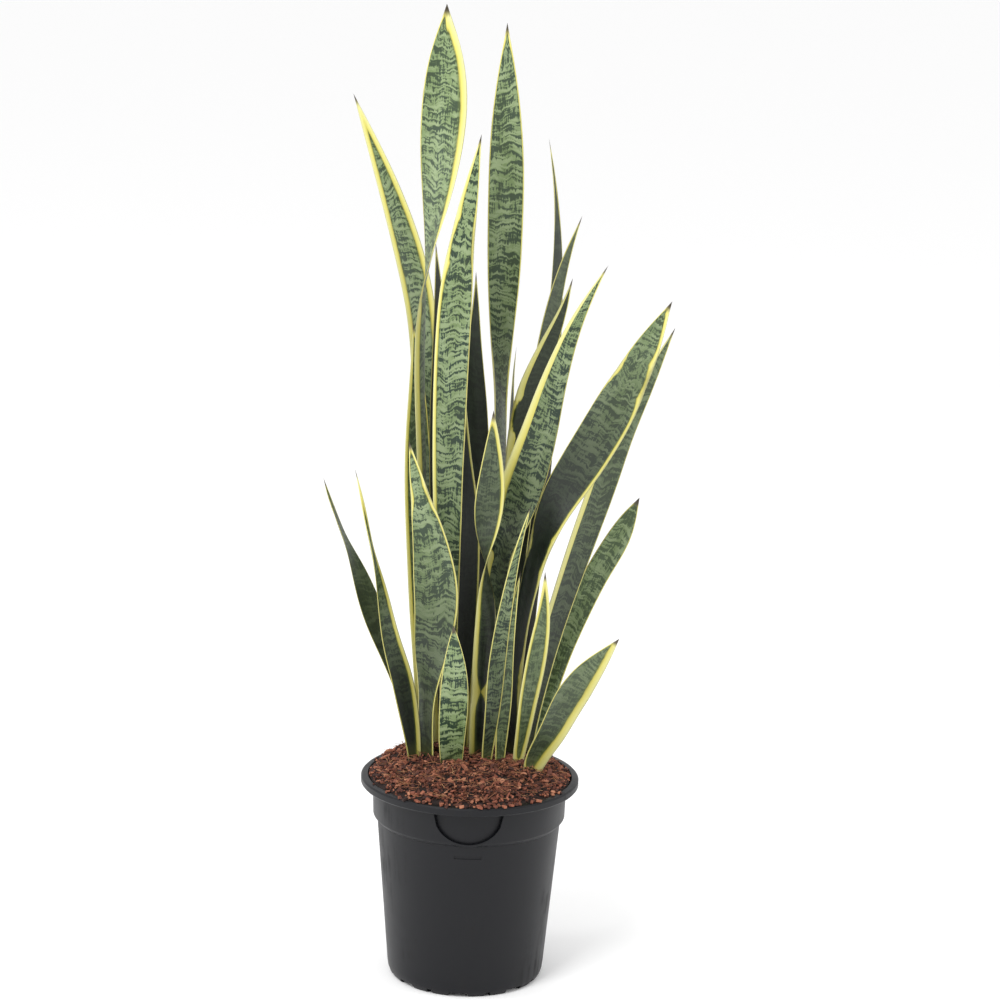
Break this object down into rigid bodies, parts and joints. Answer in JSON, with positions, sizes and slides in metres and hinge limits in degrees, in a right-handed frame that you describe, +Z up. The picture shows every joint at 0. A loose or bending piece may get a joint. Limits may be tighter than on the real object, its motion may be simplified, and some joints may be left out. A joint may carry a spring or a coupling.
{
  "type": "potted snake plant",
  "caption": "Upright snake plant with yellow-edged, cross-banded sword leaves, growing from bark and coir mix in a round tapered black plastic nursery pot.",
  "frame": {"origin": "middle of the pot's base, on the surface that the pot stands on", "axes": "+Z up along the pot's axis, -Y towards the front, +X to the right"},
  "size_m": [0.334, 0.2583, 0.936],
  "materials": {
    "pot": "satin",
    "soil": "coarse bark and coir",
    "leaf": "waxy"
  },
  "bodies": {
    "root": {"pot": "pot", "soil": "soil", "leaf_tall_left": "leaf", "leaf_tall_right": "leaf", "leaf_left_lean": "leaf", "leaf_centre_broad": "leaf", "leaf_back_spike": "leaf", "leaf_back_dark": "leaf", "leaf_inner_right": "leaf", "leaf_right_broad": "leaf", "leaf_great_right": "leaf", "leaf_right_behind": "leaf", "leaf_right_spoon": "leaf", "leaf_right_low": "leaf", "leaf_far_left": "leaf", "leaf_near_left": "leaf", "leaf_left_broad": "leaf", "leaf_front_short": "leaf", "leaf_centre_twist": "leaf", "leaf_left_back": "leaf", "leaf_centre_shadow": "leaf", "leaf_back_sliver": "leaf", "leaf_front_slim": "leaf", "leaf_front_small": "leaf", "leaf_base_yellow": "leaf", "leaf_mid_shadow": "leaf", "leaf_dark_back": "leaf"}
  },
  "joints": []
}
